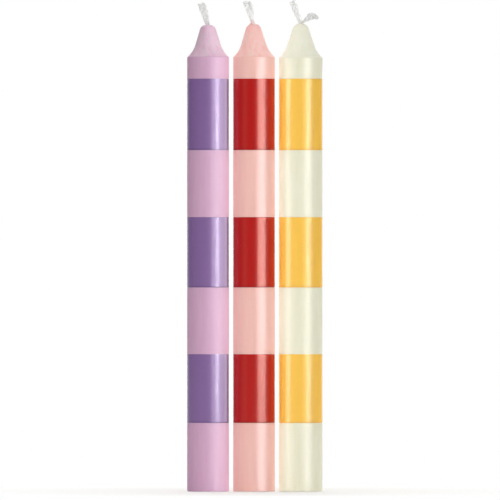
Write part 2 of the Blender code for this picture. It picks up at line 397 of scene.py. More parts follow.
def nose_loop(candle):
    """The nose from the wick down to the shoulder's edge, as the frame's solid has it but finer."""
    radius = radius_of(candle) - BAND_STANDS_PROUD
    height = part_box(f"{candle}_coat")[1].z
    shoulder = height - NOSE_HEIGHT[candle]
    tip_radius = TIP_DIAMETER[candle] / 2
    centre = (
        radius + FLARE_RADIUS * cos(SHOULDER_ANGLE),
        shoulder + FLARE_RADIUS * sin(SHOULDER_ANGLE),
    )
    across = centre[0] - tip_radius
    up = height - centre[1]
    cone_angle = acos(FLARE_RADIUS / hypot(across, up)) - atan2(up, across)
    round_r = tip_radius + TIP_ROUNDING * (tan(cone_angle) - 1 / cos(cone_angle))
    round_z = height - TIP_ROUNDING

    points = []
    if round_r > WICK_RADIUS:
        points += [(r, height) for r in steps(WICK_RADIUS, round_r, NOSE_ROWS["top"])[:-1]]
    last = acos(max(0.0, (WICK_RADIUS - round_r) / TIP_ROUNDING))
    for a in steps(last, cone_angle, NOSE_ROWS["tip"]):
        points.append((round_r + TIP_ROUNDING * cos(a), round_z + TIP_ROUNDING * sin(a)))
    broken = SHOULDER_ROUNDING * tan(SHOULDER_ANGLE / 2)
    end_of_flare = SHOULDER_ANGLE - broken / FLARE_RADIUS
    flare = [
        (centre[0] - FLARE_RADIUS * cos(a), centre[1] - FLARE_RADIUS * sin(a))
        for a in steps(cone_angle, end_of_flare, NOSE_ROWS["flare"])
    ]
    cone_top = points[-1]
    for t in steps(0, 1, NOSE_ROWS["cone"])[1:-1]:
        points.append(tuple(a + (b - a) * t for a, b in zip(cone_top, flare[0])))
    points += flare
    edge = (radius - SHOULDER_ROUNDING, shoulder - broken)
    for a in steps(SHOULDER_ANGLE, 0, NOSE_ROWS["shoulder"])[1:]:
        points.append((edge[0] + SHOULDER_ROUNDING * cos(a), edge[1] + SHOULDER_ROUNDING * sin(a)))

    loop = []
    ring = shoulder + CUT_RING_ABOVE_SHOULDER
    for r, z in points:
        off_wick = r - WICK_RADIUS
        nose = ease((z - ring) / CUT_RING_BLEND + 0.5)
        climb = 0
        if z > height - TIP_ROUNDING:
            climb = CLIMB[candle] * exp(-off_wick / CLIMB_WIDTH[candle])
        lean = NOSE_LEAN_SHARE * ease((z - shoulder) / NOSE_HEIGHT[candle])
        at_wick = ease(1 - off_wick / WICK_FOOT_REACH) * ease((z - height) / WICK_FOOT_DEPTH + 1)
        lean += (1 - NOSE_LEAN_SHARE) * at_wick
        tip_calm = ease((height - z) / TIP_CALM_DEPTH)
        wave = BODY_WAVE + (NOSE_WAVE - BODY_WAVE) * ease((z - shoulder) / NOSE_WAVE_RISE) * tip_calm
        loop.append((r - CUT_DEPTH * nose * tip_calm, z + climb, wave, nose, lean))
    return loop


def coat_loop(candle):
    """The whole coat: nose, body with a seat for each band, butt, and the inside against the core."""
    radius = radius_of(candle) - BAND_STANDS_PROUD
    seat = radius_of(candle) - BAND_SEAT - CORE_LAYER_GAP
    loop = nose_loop(candle)
    top_of_stripe = loop[-1][1]
    for bottom, top in reversed(BAND_EDGES):
        rows = max(2, round((top_of_stripe - top) / STRIPE_ROW_HEIGHT))
        loop += [(radius, z, BODY_WAVE, 0, 0) for z in steps(top_of_stripe, top, rows)[1:]]
        loop += [(seat, top, 0, 0, 0), (seat, bottom, 0, 0, 0)]
        loop += [(radius, bottom, BODY_WAVE, 0, 0)]
        top_of_stripe = bottom
    foot_stripe = steps(top_of_stripe, BUTT_CHAMFER, FOOT_STRIPE_ROWS)
    loop += [(radius, z, BODY_WAVE, 0, 0) for z in foot_stripe[1:]]
    loop += [(radius - BUTT_CHAMFER * CHAMFER_BULGE, BUTT_CHAMFER * CHAMFER_BULGE, BODY_WAVE, 0, 0)]
    loop += [(radius - BUTT_CHAMFER, 0, 0, 0, 0)]
    core_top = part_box(f"{candle}_core")[1].z
    inner = radius_of(candle) - COAT_WALL
    inner_foot = SHOULDER_HEIGHT[candle] - CORE_TAPER_DROP
    loop += [(inner, 0, 0, 0, 0), (inner, inner_foot, 0, 0, 0)]
    inner_top = core_top + CORE_LAYER_GAP
    loop += [(WICK_RADIUS + CORE_TIP_WALL + CORE_LAYER_GAP, inner_top, 0, 0, 0)]
    loop += [(WICK_RADIUS, inner_top, 0, 0, 0)]
    return loop


def smears_and_clouds(tree, candle, smear_detail, cloud_detail):
    """A place measured from the candle's axis, with tall smears and soft clouds read there."""
    place = add_node(tree, "ShaderNodeTexCoord").outputs["Object"]
    place = add_node(tree, "ShaderNodeMapping", {"Vector": place, "Location": (-axis_of(candle), 0, 0)})
    upright = (1, 1, SMEAR_WIDTH / SMEAR_LENGTH)
    tall = add_node(tree, "ShaderNodeMapping", {"Vector": place, "Scale": upright})
    smears, clouds = (
        add_node(tree, "ShaderNodeTexNoise", {"Vector": where, "Scale": 1 / size, "Detail": detail})
        for where, size, detail in ((tall, SMEAR_WIDTH, smear_detail), (place, CLOUD_SIZE, cloud_detail))
    )
    return place, smears.outputs[0], clouds.outputs[0]


def dipped_wax(name, candle, colours, roughness, sheen_specular):
    """Dyed paraffin with stearin: satin where it was dipped, matt and smeared where it was cut.

    Dipping leaves faint upright smears a millimetre or two wide, and the wax clouds as it sets.
    Light goes a little way in before it comes out, so edges glow rather than shade hard.
    """
    made, tree, out = new_finish(name)
    place, smears, clouds = smears_and_clouds(tree, candle, smear_detail=2, cloud_detail=3)
    grain = add_node(tree, "ShaderNodeTexNoise", {"Vector": place, "Scale": 1 / GRAIN_SIZE, "Detail": 4})
    nose = add_node(tree, "ShaderNodeAttribute", attribute_name="nose").outputs["Fac"]

    smear_share, cloud_share = (
        add_node(tree, "ShaderNodeMapRange", {"Value": noise, "From Min": 0.35, "From Max": 0.7})
        for noise in (smears, clouds)
    )
    body, cut = (
        add_node(
            tree,
            "ShaderNodeMix",
            {"Factor": smear_share, "A": linear(colours[part]), "B": linear(colours[f"{part}_smear"])},
            data_type="RGBA",
        )
        for part in ("body", "nose")
    )
    cut = add_node(
        tree,
        "ShaderNodeMix",
        {"Factor": cloud_share, "A": cut, "B": linear(colours["nose_cloud"])},
        data_type="RGBA",
    )
    colour = add_node(tree, "ShaderNodeMix", {"Factor": nose, "A": body, "B": cut}, data_type="RGBA")

    patchy = add_node(
        tree,
        "ShaderNodeMapRange",
        {
            "Value": clouds,
            "From Min": 0.3,
            "From Max": 0.7,
            "To Min": -COAT_ROUGHNESS_SPREAD,
            "To Max": COAT_ROUGHNESS_SPREAD,
        },
    )
    base_rough = add_node(
        tree, "ShaderNodeMapRange", {"Value": nose, "To Min": roughness, "To Max": NOSE_ROUGHNESS}
    )
    rough = add_node(tree, "ShaderNodeMath", {0: base_rough, 1: patchy}, operation="ADD")

    ripple = add_node(tree, "ShaderNodeBump", {"Height": smears, "Strength": 0.6, "Distance": DIP_RIPPLE})
    relief = add_node(
        tree, "ShaderNodeMapRange", {"Value": nose, "To Min": BODY_GRAIN_DEPTH, "To Max": NOSE_GRAIN_DEPTH}
    )
    bump = add_node(
        tree,
        "ShaderNodeBump",
        {"Height": grain.outputs[0], "Strength": 1.0, "Distance": relief, "Normal": ripple},
    )
    glow = add_node(tree, "ShaderNodeMapRange", {"Value": nose, "To Min": BODY_GLOW, "To Max": NOSE_GLOW})
    shader = add_node(
        tree,
        "ShaderNodeBsdfPrincipled",
        {
            "Base Color": colour,
            "Roughness": rough,
            "IOR": PARAFFIN_IOR,
            "Specular IOR Level": sheen_specular,
            "Subsurface Weight": glow,
            "Subsurface Radius": GLOW_COLOUR,
            "Subsurface Scale": GLOW_DEPTH,
            "Normal": bump,
        },
    )
    tree.links.new(shader.outputs["BSDF"], out.inputs["Surface"])
    return made


SMEAR_WIDTH = 0.0016
SMEAR_LENGTH = 0.016
CLOUD_SIZE = 0.0024
GRAIN_SIZE = 0.0005
DIP_RIPPLE = 0.000012
BODY_GRAIN_DEPTH = 0.000004
NOSE_GRAIN_DEPTH = 0.00003
NOSE_ROUGHNESS = 0.66
BODY_GLOW = 0.3
NOSE_GLOW = 0.5
GLOW_DEPTH = 0.0016
GLOW_COLOUR = (1.0, 0.85, 0.8)
COAT_ROUGHNESS_SPREAD = 0.05
COAT_ROUGHNESS = {"lavender": 0.60, "pink": 0.40, "ivory": 0.42}
COAT_SPECULAR = {"lavender": 0.34, "pink": 0.40, "ivory": 0.50}
COAT_COLOURS = {
    "lavender": {
        "body": "CCA1BF",
        "body_smear": "CEA6C2",
        "nose": "D8ADC6",
        "nose_smear": "D6C6CF",
        "nose_cloud": "DEBCCF",
    },
    "pink": {
        "body": "DAABA2",
        "body_smear": "DBAFA7",
        "nose": "E0A99F",
        "nose_smear": "DDC6BC",
        "nose_cloud": "E3B1AE",
    },
    "ivory": {
        "body": "D4D2BA",
        "body_smear": "D7D5C1",
        "nose": "D7D6C1",
        "nose_smear": "DFDACD",
        "nose_cloud": "D7D9C7",
    },
}

for candle in CANDLES:
    wax = dipped_wax(
        f"dipped_{candle}_wax", candle, COAT_COLOURS[candle], COAT_ROUGHNESS[candle], COAT_SPECULAR[candle]
    )
    coat = turned(f"{candle}_dipped_coat", candle, coat_loop(candle), wax, WICK_OFF_AXIS[candle])
    dress(coat, candle, f"{candle}_coat", f"{candle}_wax")

# Bands
# Three sleeves of strongly dyed gloss wax go round each coat, flush but for the thickness of a
# hair. Along the lower edge of each, where its surface turns down, a darker strip is painted as shade.
BAND_ROUGHNESS = 0.25
BAND_ROUGHNESS_SPREAD = 0.04
# The colour of the sleeve, and the darker one that is painted shade along its foot and also makes the
# clouds where the dye gathers
BAND_COLOURS = {
    "lavender": ("84659B", "75598B"),
    "pink": ("A51311", "8E0F10"),
    "ivory": ("E9B84C", "E2AD45"),
}
CLOUD_DYE_SHARE = 0.16
BAND_SHEENS = {"lavender": "FFFFFF", "pink": "FFEDE0", "ivory": "FFFFFF"}
BAND_SLOTS = {"lavender": "purple_gloss_wax", "pink": "red_gloss_wax", "ivory": "yellow_gloss_wax"}
BAND_PLACES = ("low", "middle", "high")
BAND_ROUNDING = 0.0004
# How tall the painted shade along a band's foot is, and the share of it at full strength
FOOT_SHADE_HEIGHT = 0.0009
FOOT_SHADE_FULL_SHARE = 0.3
BAND_GAP = 0.00002
BAND_ROWS = {"rim": 5, "sleeve": 14, "foot_shade": 12}


def band_loop(candle, bottom, top):
    """A sleeve whose outside eases in at both ends; its nose value marks where its foot is painted darker
    as shade.
    """
    radius = radius_of(candle)
    low, high = bottom + BAND_GAP, top - BAND_GAP
    heights = [high - BAND_ROUNDING * t * t for t in steps(0, 1, BAND_ROWS["rim"])]
    heights += steps(high - BAND_ROUNDING, low + 2 * FOOT_SHADE_HEIGHT, BAND_ROWS["sleeve"])[1:]
    heights += steps(low + 2 * FOOT_SHADE_HEIGHT, low + BAND_ROUNDING, BAND_ROWS["foot_shade"])[1:]
    heights += [low + BAND_ROUNDING * t * t for t in steps(1, 0, BAND_ROWS["rim"])[1:]]
    loop = []
    for z in heights:
        from_end = min(high - z, z - low)
        eased = 1 - max(0.0, 1 - from_end / BAND_ROUNDING) ** 2
        # Painted shade: the foot of the sleeve is marked to be drawn darker
        foot_shade = 1 - ease((z - low) / FOOT_SHADE_HEIGHT - FOOT_SHADE_FULL_SHARE)
        loop.append((radius - BODY_WAVE - BAND_STANDS_PROUD * (1 - eased), z, BODY_WAVE, foot_shade, 0))
    inner = radius - BAND_SEAT
    return loop + [(inner, low, 0, 0, 0), (inner, high, 0, 0, 0)]


def gloss_wax(name, candle, colour, foot_shade_and_cloud_colour, sheen):
    """Strongly dyed overdip with a hard gloss, so it mirrors the studio's panels as soft bars.

    The foot is painted darker as shade, and the dye gathers a little in clouds. The red film also
    tints the sheen.
    """
    made, tree, out = new_finish(name)
    runs, clouds = smears_and_clouds(tree, candle, smear_detail=1, cloud_detail=2)[1:]
    foot_shade = add_node(tree, "ShaderNodeAttribute", attribute_name="nose").outputs["Fac"]
    gathered = add_node(
        tree,
        "ShaderNodeMapRange",
        {"Value": clouds, "From Min": 0.3, "From Max": 0.7, "To Max": CLOUD_DYE_SHARE},
    )
    dyed = add_node(
        tree,
        "ShaderNodeMix",
        {"Factor": gathered, "A": linear(colour), "B": linear(foot_shade_and_cloud_colour)},
        data_type="RGBA",
    )
    # Painted shade along the foot: the sleeve takes the darker colour there
    dyed = add_node(
        tree, "ShaderNodeMix", {"Factor": foot_shade, "A": dyed, "B": linear(foot_shade_and_cloud_colour)}, data_type="RGBA"
    )
    smoothest = BAND_ROUGHNESS - BAND_ROUGHNESS_SPREAD
    roughest = BAND_ROUGHNESS + BAND_ROUGHNESS_SPREAD
    rough = add_node(
        tree, "ShaderNodeMapRange", {"Value": clouds, "To Min": smoothest, "To Max": roughest}
    )
    bump = add_node(tree, "ShaderNodeBump", {"Height": runs, "Strength": 0.5, "Distance": DIP_RIPPLE})
    shader = add_node(
        tree,
        "ShaderNodeBsdfPrincipled",
        {
            "Base Color": dyed,
            "Roughness": rough,
            "IOR": PARAFFIN_IOR,
            "Specular Tint": linear(sheen),
            "Normal": bump,
        },
    )
    tree.links.new(shader.outputs["BSDF"], out.inputs["Surface"])
    return made


for candle in CANDLES:
    wax = gloss_wax(f"{candle}_candle_gloss_wax", candle, *BAND_COLOURS[candle], BAND_SHEENS[candle])
    for place, (bottom, top) in zip(BAND_PLACES, BAND_EDGES):
        band = turned(f"{candle}_gloss_band_{place}", candle, band_loop(candle, bottom, top), wax)
        dress(band, candle, f"{candle}_band_{place}", BAND_SLOTS[candle])

# Wicks
# A flat braid of bleached cotton runs from butt to tip. Its free end is soft, spreads where it
# leaves the wax, and was snipped with scissors, so the plies part and fuzz.
WICK_RISE = {"lavender": 0.0098, "pink": 0.0101, "ivory": 0.0100}
WICK_SETBACK = 0.0005
BORE_CORD_BELOW_TIP = 0.0006
ROUND_HALF = 0.0010
FLAT_HALF = 0.00062
FLAT_ABOVE_TIP = 0.0020
COTTON_COLOUR = "F7F7F6"
COTTON_SHADE_COLOUR = "EBEBEA"
# The grey that greyed runs lean to, painted shade on the ivory's loose ply
GREY_COTTON_COLOUR = "CFCFCF"
COTTON_ROUGHNESS = 0.9
COTTON_SPECULAR = 0.1
COTTON_GRAIN = 0.0002
COTTON_GRAIN_DEPTH = 0.00003
# How the braid is laid: its step along the run, how far the strands cross over in its thickness,
# how flat each strand is, how far a ply wanders, and how much of the width the yarns take
BRAID_STEP = 0.00014
CROSSING_SHARE = 0.6
STRAND_FLATNESS = 0.8
PLY_WANDER = 0.00016
PLY_WANDER_SCALE = 900
YARN_SPAN = 0.85
# The higher the power, the closer to the snipped end the plies part
FRAY_POWER = 8
FIBRES_FROM = 0.15
FIBRE_LENGTH = 0.0006
FIBRE_RADIUS = 0.000012
FIBRE_BEND = {"Start": (0, 0, 0), "Middle": (0.25, 0, 0.55), "End": (0.1, 0.35, 1)}
FIBRE_TURN = (0.7, 0.7, 3.1)
FIBRE_SIZES = (0.4, 1.3)
FIBRE_SEED = 3
# How much greyer each run's cotton is drawn: on the ivory's loose ply this is painted shade, as that ply is
# seen from its shaded side; the lavender's braid and the pink's second run are a little greyer all along
RUN_GREYNESS = {"lavender": (0.3,), "pink": (0.0, 0.1), "ivory": (0.0, 0.6)}
# Each run: right, back and up from the tip as shares of the rise, then the spread of the braid
WICK_RUNS = {
    "lavender": [
        [
            (0.00, 0.00, -0.10, 0.85),
            (-0.01, 0.00, 0.02, 0.85),
            (-0.06, 0.01, 0.16, 1.15),
            (-0.13, 0.03, 0.47, 1.60),
            (-0.23, 0.04, 0.75, 1.75),
            (-0.285, 0.02, 0.955, 1.70),
        ]
    ],
    "pink": [
        [
            (-0.06, 0.00, -0.10, 0.80),
            (-0.065, 0.00, 0.04, 0.80),
            (-0.09, -0.02, 0.18, 0.85),
            (-0.13, -0.03, 0.36, 1.10),
            (-0.24, -0.04, 0.60, 1.10),
            (-0.34, -0.03, 0.82, 0.90),
            (-0.385, 0.00, 0.982, 0.80),
        ],
        [
            (-0.06, 0.01, -0.10, 0.80),
            (-0.06, 0.01, 0.04, 0.80),
            (-0.07, 0.02, 0.18, 0.85),
            (-0.08, 0.02, 0.40, 0.95),
            (-0.11, 0.03, 0.66, 0.90),
            (-0.16, 0.03, 0.86, 0.80),
            (-0.21, 0.03, 0.975, 0.75),
        ],
    ],
    "ivory": [
        [
            (0.00, 0.00, -0.10, 0.85),
            (0.00, 0.00, 0.02, 0.85),
            (-0.03, 0.01, 0.15, 1.00),
            (-0.11, 0.03, 0.35, 1.25),
            (-0.21, 0.03, 0.60, 1.40),
            (-0.35, 0.00, 0.985, 1.45),
        ],
        [
            (0.01, 0.00, -0.06, 0.45),
            (0.04, 0.00, 0.05, 0.50),
            (0.18, -0.02, 0.15, 0.75),
            (0.33, -0.03, 0.26, 1.25),
            (0.47, -0.02, 0.35, 1.65),
            (0.62, 0.01, 0.32, 1.20),
            (0.76, 0.03, 0.27, 0.35),
        ],
    ],
}


def smooth_run(points, count=10):
    """A smooth curve that passes through every point and blends the spread that each carries."""
    rows = [Vector(p) for p in points]
    rows = [2 * rows[0] - rows[1]] + rows + [2 * rows[-1] - rows[-2]]
    found = []
    for a, b, c, d in zip(rows, rows[1:], rows[2:], rows[3:]):
        for t in steps(0, 1, count)[:-1]:
            squared = (2 * a - 5 * b + 4 * c - d) * t**2
            cubed = (3 * b - a - 3 * c + d) * t**3
            found.append(0.5 * (2 * b + (c - a) * t + squared + cubed))
    return found + [rows[-2]]


def braid_tree():
    """Lays strands in a flat plait along each wire run, twists plies into each, and adds loose fibres.

    The runs carry the plait's half width, its half thickness, and free, which is 0 in the wax
    and 1 at the snipped end.
    """
    tree, given, out = new_geometry_tree(
        "flat_cotton_braid",
        [
            ("Strands", "NodeSocketInt"),
            ("Plies", "NodeSocketInt"),
            ("Straight Yarns", "NodeSocketInt"),
            ("Plait Pitch", "NodeSocketFloat"),
            ("Twist Pitch", "NodeSocketFloat"),
            ("Strand Radius", "NodeSocketFloat"),
            ("Ply Radius", "NodeSocketFloat"),
            ("Yarn Radius", "NodeSocketFloat"),
            ("Fray", "NodeSocketFloat"),
            ("Fibres Per Area", "NodeSocketFloat"),
            ("Seed", "NodeSocketInt"),
            ("Bore Foot", "NodeSocketVector"),
            ("Bore Top", "NodeSocketVector"),
            ("Bore Radius", "NodeSocketFloat"),
            ("Cotton", "NodeSocketMaterial"),
        ],
    )
    half_width, half_thick, free = (
        add_node(tree, "GeometryNodeInputNamedAttribute", {"Name": label}, data_type="FLOAT")
        for label in ("half_width", "half_thick", "free")
    )
    runs = add_node(tree, "GeometryNodeMeshToCurve", {"Mesh": given["Geometry"]})
    runs = add_node(
        tree, "GeometryNodeResampleCurve", {"Curve": runs, "Length": BRAID_STEP}, mode="LENGTH"
    )
    tangent = add_node(tree, "GeometryNodeInputTangent")
    across = add_node(tree, "ShaderNodeVectorMath", {0: (0, 1, 0), 1: tangent}, operation="CROSS_PRODUCT")
    across = add_node(tree, "ShaderNodeVectorMath", {0: across}, operation="NORMALIZE")
    through = add_node(tree, "ShaderNodeVectorMath", {0: tangent, 1: across}, operation="CROSS_PRODUCT")
    along = add_node(tree, "GeometryNodeSplineParameter").outputs["Length"]

    def turned_phase(pitch, index, count):
        """Tau times how far along in pitches, plus the strand's or ply's share of a turn."""
        turns = add_node(tree, "ShaderNodeMath", {0: along, 1: pitch}, operation="DIVIDE")
        share = add_node(tree, "ShaderNodeMath", {0: index, 1: count}, operation="DIVIDE")
        turns = add_node(tree, "ShaderNodeMath", {0: turns, 1: share}, operation="ADD")
        return add_node(tree, "ShaderNodeMath", {0: turns, 1: tau}, operation="MULTIPLY")

    def room_for(radius):
        """How far aside a strand or yarn can lie and keep within the braid's width."""
        room = add_node(tree, "ShaderNodeMath", {0: half_width, 1: radius}, operation="SUBTRACT")
        return add_node(tree, "ShaderNodeMath", {0: room, 1: 0}, operation="MAXIMUM")

    def shifted(aside, behind):
        """A shift of so much across the braid and so much through it."""
        aside = add_node(tree, "ShaderNodeVectorMath", {0: across, "Scale": aside}, operation="SCALE")
        behind = add_node(tree, "ShaderNodeVectorMath", {0: through, "Scale": behind}, operation="SCALE")
        return add_node(tree, "ShaderNodeVectorMath", {0: aside, 1: behind}, operation="ADD")

    def rod(curve, sides, radius):
        """A rod along each curve, closed at both ends."""
        section = add_node(
            tree, "GeometryNodeCurvePrimitiveCircle", {"Resolution": sides, "Radius": radius}, mode="RADIUS"
        )
        return add_node(
            tree, "GeometryNodeCurveToMesh", {"Curve": curve, "Profile Curve": section, "Fill Caps": True}
        )

    strands = add_node(
        tree,
        "GeometryNodeDuplicateElements",
        {"Geometry": runs, "Amount": given["Strands"]},
        domain="SPLINE",
    )
    phase = turned_phase(given["Plait Pitch"], strands.outputs["Duplicate Index"], given["Strands"])
    side = add_node(tree, "ShaderNodeMath", {0: phase}, operation="SINE")
    room = room_for(given["Strand Radius"])
    side = add_node(tree, "ShaderNodeMath", {0: side, 1: room}, operation="MULTIPLY")
    double = add_node(tree, "ShaderNodeMath", {0: phase, 1: 2}, operation="MULTIPLY")
    over = add_node(tree, "ShaderNodeMath", {0: double}, operation="SINE")
    depth = add_node(tree, "ShaderNodeMath", {0: half_thick, 1: CROSSING_SHARE}, operation="MULTIPLY")
    over = add_node(tree, "ShaderNodeMath", {0: over, 1: depth}, operation="MULTIPLY")
    offset = shifted(side, over)
    strands_laid = add_node(tree, "GeometryNodeSetPosition", {"Geometry": strands, "Offset": offset})

    plies = add_node(
        tree,
        "GeometryNodeDuplicateElements",
        {"Geometry": strands_laid, "Amount": given["Plies"]},
        domain="SPLINE",
    )
    phase = turned_phase(given["Twist Pitch"], plies.outputs["Duplicate Index"], given["Plies"])
    opened = add_node(tree, "ShaderNodeMath", {0: free, 1: FRAY_POWER}, operation="POWER")
    opened = add_node(tree, "ShaderNodeMath", {0: opened, 1: given["Fray"]}, operation="MULTIPLY")
    ring = add_node(
        tree, "ShaderNodeMath", {0: given["Strand Radius"], 1: given["Ply Radius"]}, operation="SUBTRACT"
    )
    ring = add_node(tree, "ShaderNodeMath", {0: ring, 1: opened}, operation="ADD")
    right = add_node(tree, "ShaderNodeMath", {0: phase}, operation="COSINE")
    right = add_node(tree, "ShaderNodeMath", {0: right, 1: ring}, operation="MULTIPLY")
    back = add_node(tree, "ShaderNodeMath", {0: phase}, operation="SINE")
    back = add_node(tree, "ShaderNodeMath", {0: back, 1: ring}, operation="MULTIPLY")
    back = add_node(tree, "ShaderNodeMath", {0: back, 1: STRAND_FLATNESS}, operation="MULTIPLY")
    offset = shifted(right, back)
    wander = add_node(
        tree,
        "ShaderNodeTexNoise",
        {"W": plies.outputs["Duplicate Index"], "Scale": PLY_WANDER_SCALE, "Detail": 1},
        noise_dimensions="4D",
    )
    wander = add_node(
        tree, "ShaderNodeVectorMath", {0: wander.outputs["Color"], 1: (0.5, 0.5, 0.5)}, operation="SUBTRACT"
    )
    wander = add_node(tree, "ShaderNodeVectorMath", {0: wander, "Scale": PLY_WANDER}, operation="SCALE")
    offset = add_node(tree, "ShaderNodeVectorMath", {0: offset, 1: wander}, operation="ADD")
    plies_laid = add_node(tree, "GeometryNodeSetPosition", {"Geometry": plies, "Offset": offset})
    braid = rod(plies_laid, sides=6, radius=given["Ply Radius"])

    # Straight yarns lie side by side within the plait and fill it
    yarns = add_node(
        tree,
        "GeometryNodeDuplicateElements",
        {"Geometry": runs, "Amount": given["Straight Yarns"]},
        domain="SPLINE",
    )
    last = add_node(tree, "ShaderNodeMath", {0: given["Straight Yarns"], 1: 1}, operation="SUBTRACT")
    place = add_node(
        tree,
        "ShaderNodeMapRange",
        {"Value": yarns.outputs["Duplicate Index"], "From Max": last, "To Min": -1, "To Max": 1},
    )
    room = room_for(given["Yarn Radius"])
    place = add_node(tree, "ShaderNodeMath", {0: place, 1: room}, operation="MULTIPLY")
    place = add_node(tree, "ShaderNodeMath", {0: place, 1: YARN_SPAN}, operation="MULTIPLY")
    offset = add_node(tree, "ShaderNodeVectorMath", {0: across, "Scale": place}, operation="SCALE")
    yarns = add_node(tree, "GeometryNodeSetPosition", {"Geometry": yarns, "Offset": offset})
    yarns = rod(yarns, sides=8, radius=given["Yarn Radius"])

    # Loose fibres stand off the free end, each a short bent hair
    on_free = add_node(
        tree, "FunctionNodeCompare", {0: free, 1: FIBRES_FROM}, data_type="FLOAT", operation="GREATER_THAN"
    )
    spots = add_node(
        tree,
        "GeometryNodeDistributePointsOnFaces",
        {"Mesh": braid, "Selection": on_free, "Density": given["Fibres Per Area"], "Seed": given["Seed"]},
        distribute_method="RANDOM",
    )
    hair = add_node(tree, "GeometryNodeCurveQuadraticBezier", {"Resolution": 4, **FIBRE_BEND})
    hair = add_node(tree, "GeometryNodeTransform", {"Geometry": hair, "Scale": (FIBRE_LENGTH,) * 3})
    hair = rod(hair, sides=3, radius=FIBRE_RADIUS)
    spin = add_node(
        tree,
        "FunctionNodeRandomValue",
        {0: [-most for most in FIBRE_TURN], 1: FIBRE_TURN, "Seed": given["Seed"]},
        data_type="FLOAT_VECTOR",
    )
    spin = add_node(tree, "FunctionNodeEulerToRotation", {"Euler": spin})
    turn = add_node(
        tree, "FunctionNodeRotateRotation", {0: spots.outputs["Rotation"], 1: spin}, rotation_space="LOCAL"
    )
    size = add_node(
        tree,
        "FunctionNodeRandomValue",
        {2: FIBRE_SIZES[0], 3: FIBRE_SIZES[1], "Seed": given["Seed"]},
        data_type="FLOAT",
    )
    fibres = add_node(
        tree,
        "GeometryNodeInstanceOnPoints",
        {"Points": spots.outputs["Points"], "Instance": hair, "Rotation": turn, "Scale": size},
    )

    # In its bore the braid is pressed to a round cord, which nothing shows but its end in the butt
    cord = add_node(
        tree, "GeometryNodeCurvePrimitiveLine", {"Start": given["Bore Foot"], "End": given["Bore Top"]}
    )
    cord = rod(cord, sides=24, radius=given["Bore Radius"])
    wick = tree.nodes.new("GeometryNodeJoinGeometry")
    for part in (cord, fibres, yarns, braid):
        tree.links.new(part.outputs[0], wick.inputs[0])
    wick = add_node(tree, "GeometryNodeRealizeInstances", {"Geometry": wick})
    wick = add_node(tree, "GeometryNodeSetMaterial", {"Geometry": wick, "Material": given["Cotton"]})
    tree.links.new(wick.outputs["Geometry"], out.inputs["Geometry"])
    return tree


def waxed_cotton(candle, wax_colour):
    """Bleached cotton braid: soft and white, with a bloom of the candle's wax where it leaves the tip."""
    made, tree, out = new_finish(f"bleached_cotton_{candle}")
    place = add_node(tree, "ShaderNodeTexCoord").outputs["Object"]
    fibres = add_node(
        tree, "ShaderNodeTexNoise", {"Vector": place, "Scale": 1 / COTTON_GRAIN, "Detail": 3}
    )
    share = add_node(
        tree, "ShaderNodeMapRange", {"Value": fibres.outputs[0], "From Min": 0.3, "From Max": 0.7}
    )
    cotton = add_node(
        tree,
        "ShaderNodeMix",
        {"Factor": share, "A": linear(COTTON_SHADE_COLOUR), "B": linear(COTTON_COLOUR)},
        data_type="RGBA",
    )
    # Painted shade: each run greys by the greyness it carries
    grey = add_node(tree, "ShaderNodeAttribute", attribute_name="greyness").outputs["Fac"]
    cotton = add_node(
        tree,
        "ShaderNodeMix",
        {"Factor": grey, "A": cotton, "B": linear(GREY_COTTON_COLOUR)},
        data_type="RGBA",
    )
    free = add_node(tree, "ShaderNodeAttribute", attribute_name="free").outputs["Fac"]
    waxed = add_node(
        tree,
        "ShaderNodeMapRange",
        {"Value": free, "From Min": 0.05, "From Max": 0.4, "To Min": 0.7, "To Max": 0},
    )
    colour = add_node(
        tree, "ShaderNodeMix", {"Factor": waxed, "A": cotton, "B": linear(wax_colour)}, data_type="RGBA"
    )
    bump = add_node(
        tree,
        "ShaderNodeBump",
        {"Height": fibres.outputs[0], "Strength": 0.5, "Distance": COTTON_GRAIN_DEPTH},
    )
    shader = add_node(
        tree,
        "ShaderNodeBsdfPrincipled",
        {
            "Base Color": colour,
            "Roughness": COTTON_ROUGHNESS,
            "Specular IOR Level": COTTON_SPECULAR,
            "Normal": bump,
        },
    )
    tree.links.new(shader.outputs["BSDF"], out.inputs["Surface"])
    return made


BRAID = braid_tree()
WICK_WAX = {"lavender": "DCCBD8", "pink": "F3D2D0", "ivory": "EEEBDC"}


def braid_runs(candle):
    """The wick's runs in metres, each point with half width, half thickness, freedom and greyness."""
    tip = Vector((axis_of(candle), 0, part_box(f"{candle}_coat")[1].z))
    rise = WICK_RISE[candle]
    runs = []
    for route, greyness in zip(WICK_RUNS[candle], RUN_GREYNESS[candle]):
        points = smooth_run(route)
        run = []
        for index, (x, y, z, spread) in enumerate(points):
            place = tip + rise * Vector((x, y, z))
            flat = ease(rise * z / FLAT_ABOVE_TIP)
            half_width = ROUND_HALF * spread
            half_thick = min(ROUND_HALF + (FLAT_HALF - ROUND_HALF) * flat, half_width)
            free = ease(index / (len(points) - 1))
            run.append((*place, half_width, half_thick, free, greyness))
        runs.append(run)
    return runs


